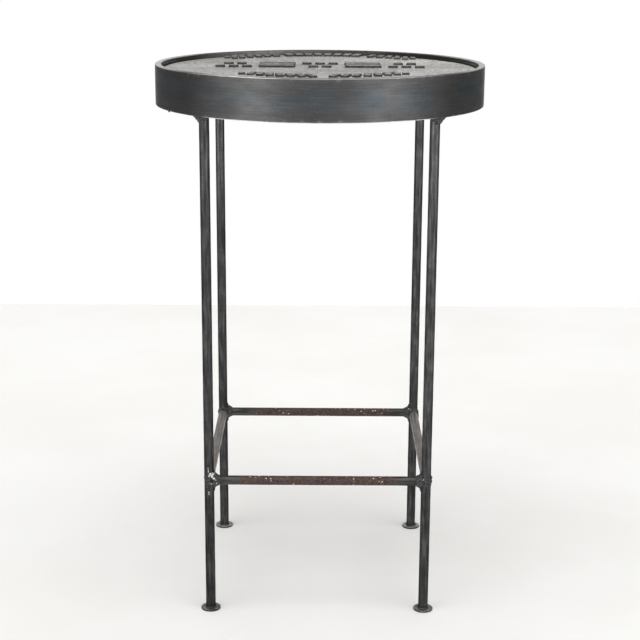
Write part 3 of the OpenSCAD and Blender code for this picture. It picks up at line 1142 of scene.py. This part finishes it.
def make_seam_weld(material):
    """The band's butt weld: a strip ground flush outside, and a proud bead inside."""
    dice = random.Random("seam")
    out = Vector((math.cos(SEAM_ANGLE), math.sin(SEAM_ANGLE), 0))
    across = Vector((-out.y, out.x, 0))
    drops = []
    for i in range(25):
        z = BAND_Z + 1.2 * MM + (RIM_Z - BAND_Z - 2.4 * MM) * i / 24
        for depth in (1.6, 3.2, 4.8, 6.2):
            drops.append((out * (BAND_INNER_R + depth * MM) + UP * z, 1.75 * MM))
    z = SEAT_Z + 2.5 * MM
    while z < RIM_Z - 2 * MM:
        for shift in (-4, -2, 0, 2, 4):
            place = out * (BAND_INNER_R + 0.4 * MM) + across * (shift * MM)
            place.z = z - abs(shift) * 0.3 * MM
            drops.append((place, 1.9 * MM * dice.uniform(0.8, 1.05)))
        z += 2.2 * MM
    make_weld("seam_weld_piece", drops, material, "band_seam_weld", 0.5 * MM, inside_the_band)


# ---- Floor, backdrop and light ----

FLOOR_HALF = 1.48


def make_floor():
    """A pale floor that ends where the white background begins."""
    verts = [(x * FLOOR_HALF, y * FLOOR_HALF, 0) for x, y in ((-1, -1), (1, -1), (1, 1), (-1, 1))]
    floor = make_object("floor", verts, [(0, 1, 2, 3)])
    s = Shader("floor_paint")
    colour = s.mix(s.between(s.noise(2.2), 0.35, 0.65), (0.86, 0.852, 0.83), (0.90, 0.893, 0.875))
    floor.data.materials.append(s.done(colour, 0.6, 0.0, s.relief(s.noise(60, 3.0), 0.0003)))


def make_softbox():
    """A large soft light overhead, out of the camera's sight."""
    place, target = Vector((0, 0.3, 3)), Vector((0, 0.1, 0))
    data = bpy.data.lights.new("softbox_over", "AREA")
    data.size = 3
    data.energy = 35
    lamp = put("softbox_over", data)
    lamp.location = place
    lamp.rotation_mode = "QUATERNION"
    lamp.rotation_quaternion = (target - place).to_track_quat("-Z", "Y")
    lamp.visible_camera = False


# The studio's brightness in three layers, level with the table, above it and overhead. Each
# pair is a share of the half turn from the camera's side to the back, and the strength there.
STUDIO_LOW = (
    (0.00, 0.30), (0.12, 0.33), (0.25, 1.15), (0.33, 0.62), (0.44, 0.27), (0.58, 0.07),
    (0.72, 0.12), (0.86, 0.12), (1.00, 1.40),
)
STUDIO_MID = ((0.00, 0.72), (0.29, 0.87), (0.44, 0.70), (0.65, 0.42), (1.00, 0.42))
STUDIO_HIGH = ((0.00, 1.85), (0.47, 1.85), (0.53, 0.32), (1.00, 0.32))


def make_world():
    """Soft boxes to the front's left and right, dark sides, and a white wall behind."""
    world = bpy.data.worlds.new("studio")
    bpy.context.scene.world = world
    world.use_nodes = True
    sky = Nodes(world.node_tree)
    way = sky.add("TexCoord").outputs["Generated"]
    x, y, z = sky.add("SeparateXYZ", {"Vector": way}).outputs
    turn = sky.math("ABSOLUTE", sky.math("ARCTAN2", x, sky.times(y, -1.0)))
    turn = sky.math("DIVIDE", turn, math.pi)

    def layer(levels):
        ramp = sky.add("ValToRGB", {"Fac": turn})
        elements = ramp.color_ramp.elements
        while len(elements) < len(levels):
            elements.new(0.5)
        for element, (position, strength) in zip(elements, levels):
            element.position = position
            element.color = (strength, strength, strength, 1)
        return ramp.outputs["Color"]

    above = sky.between(z, 0.087, 0.259, way="LINEAR")
    overhead = sky.between(z, 0.50, 0.766, way="LINEAR")
    colour = sky.mix(above, layer(STUDIO_LOW), layer(STUDIO_MID))
    colour = sky.mix(overhead, colour, layer(STUDIO_HIGH))
    seen = sky.add("LightPath").outputs["Is Camera Ray"]
    white_wall = sky.mix(seen, colour, (1.0, 1.0, 1.0))
    sky.feed(world.node_tree.nodes["Background"].inputs["Color"], white_wall)


# ---- Build ----

bpy.context.scene.view_settings.view_transform = "Standard"
make_camera()
make_world()
make_softbox()
make_floor()

make_cover()
make_band()
make_seat_ring()
leg_steel = bar_material("leg_steel", 2, (0.050, 0.050, 0.052), (0.155, 0.155, 0.157), 0.0)
stretcher_steel = [
    bar_material("stretcher_steel_x", 0, (0.043, 0.041, 0.040), (0.132, 0.125, 0.119), 0.4, 1.0),
    # The side stretchers: the same steel painted much lighter, a painted sheen of the back wall's light
    # glancing off them, with less rust
    bar_material("stretcher_steel_y_painted_sheen", 1, (0.25, 0.232, 0.220), (0.46, 0.43, 0.405), 1.0, 0.12),
]
washer_steel = foot_material()
weld_steel = weld_material()
for corner in CORNERS:
    make_leg(corner, leg_steel)
    make_foot(corner, washer_steel)
    make_joint_weld(corner, weld_steel)
    make_band_weld(corner, weld_steel)
    make_foot_weld(corner, weld_steel)
for side in SIDES:
    make_stretcher(side, stretcher_steel)
make_seat_welds(weld_steel)
make_seam_weld(weld_steel)
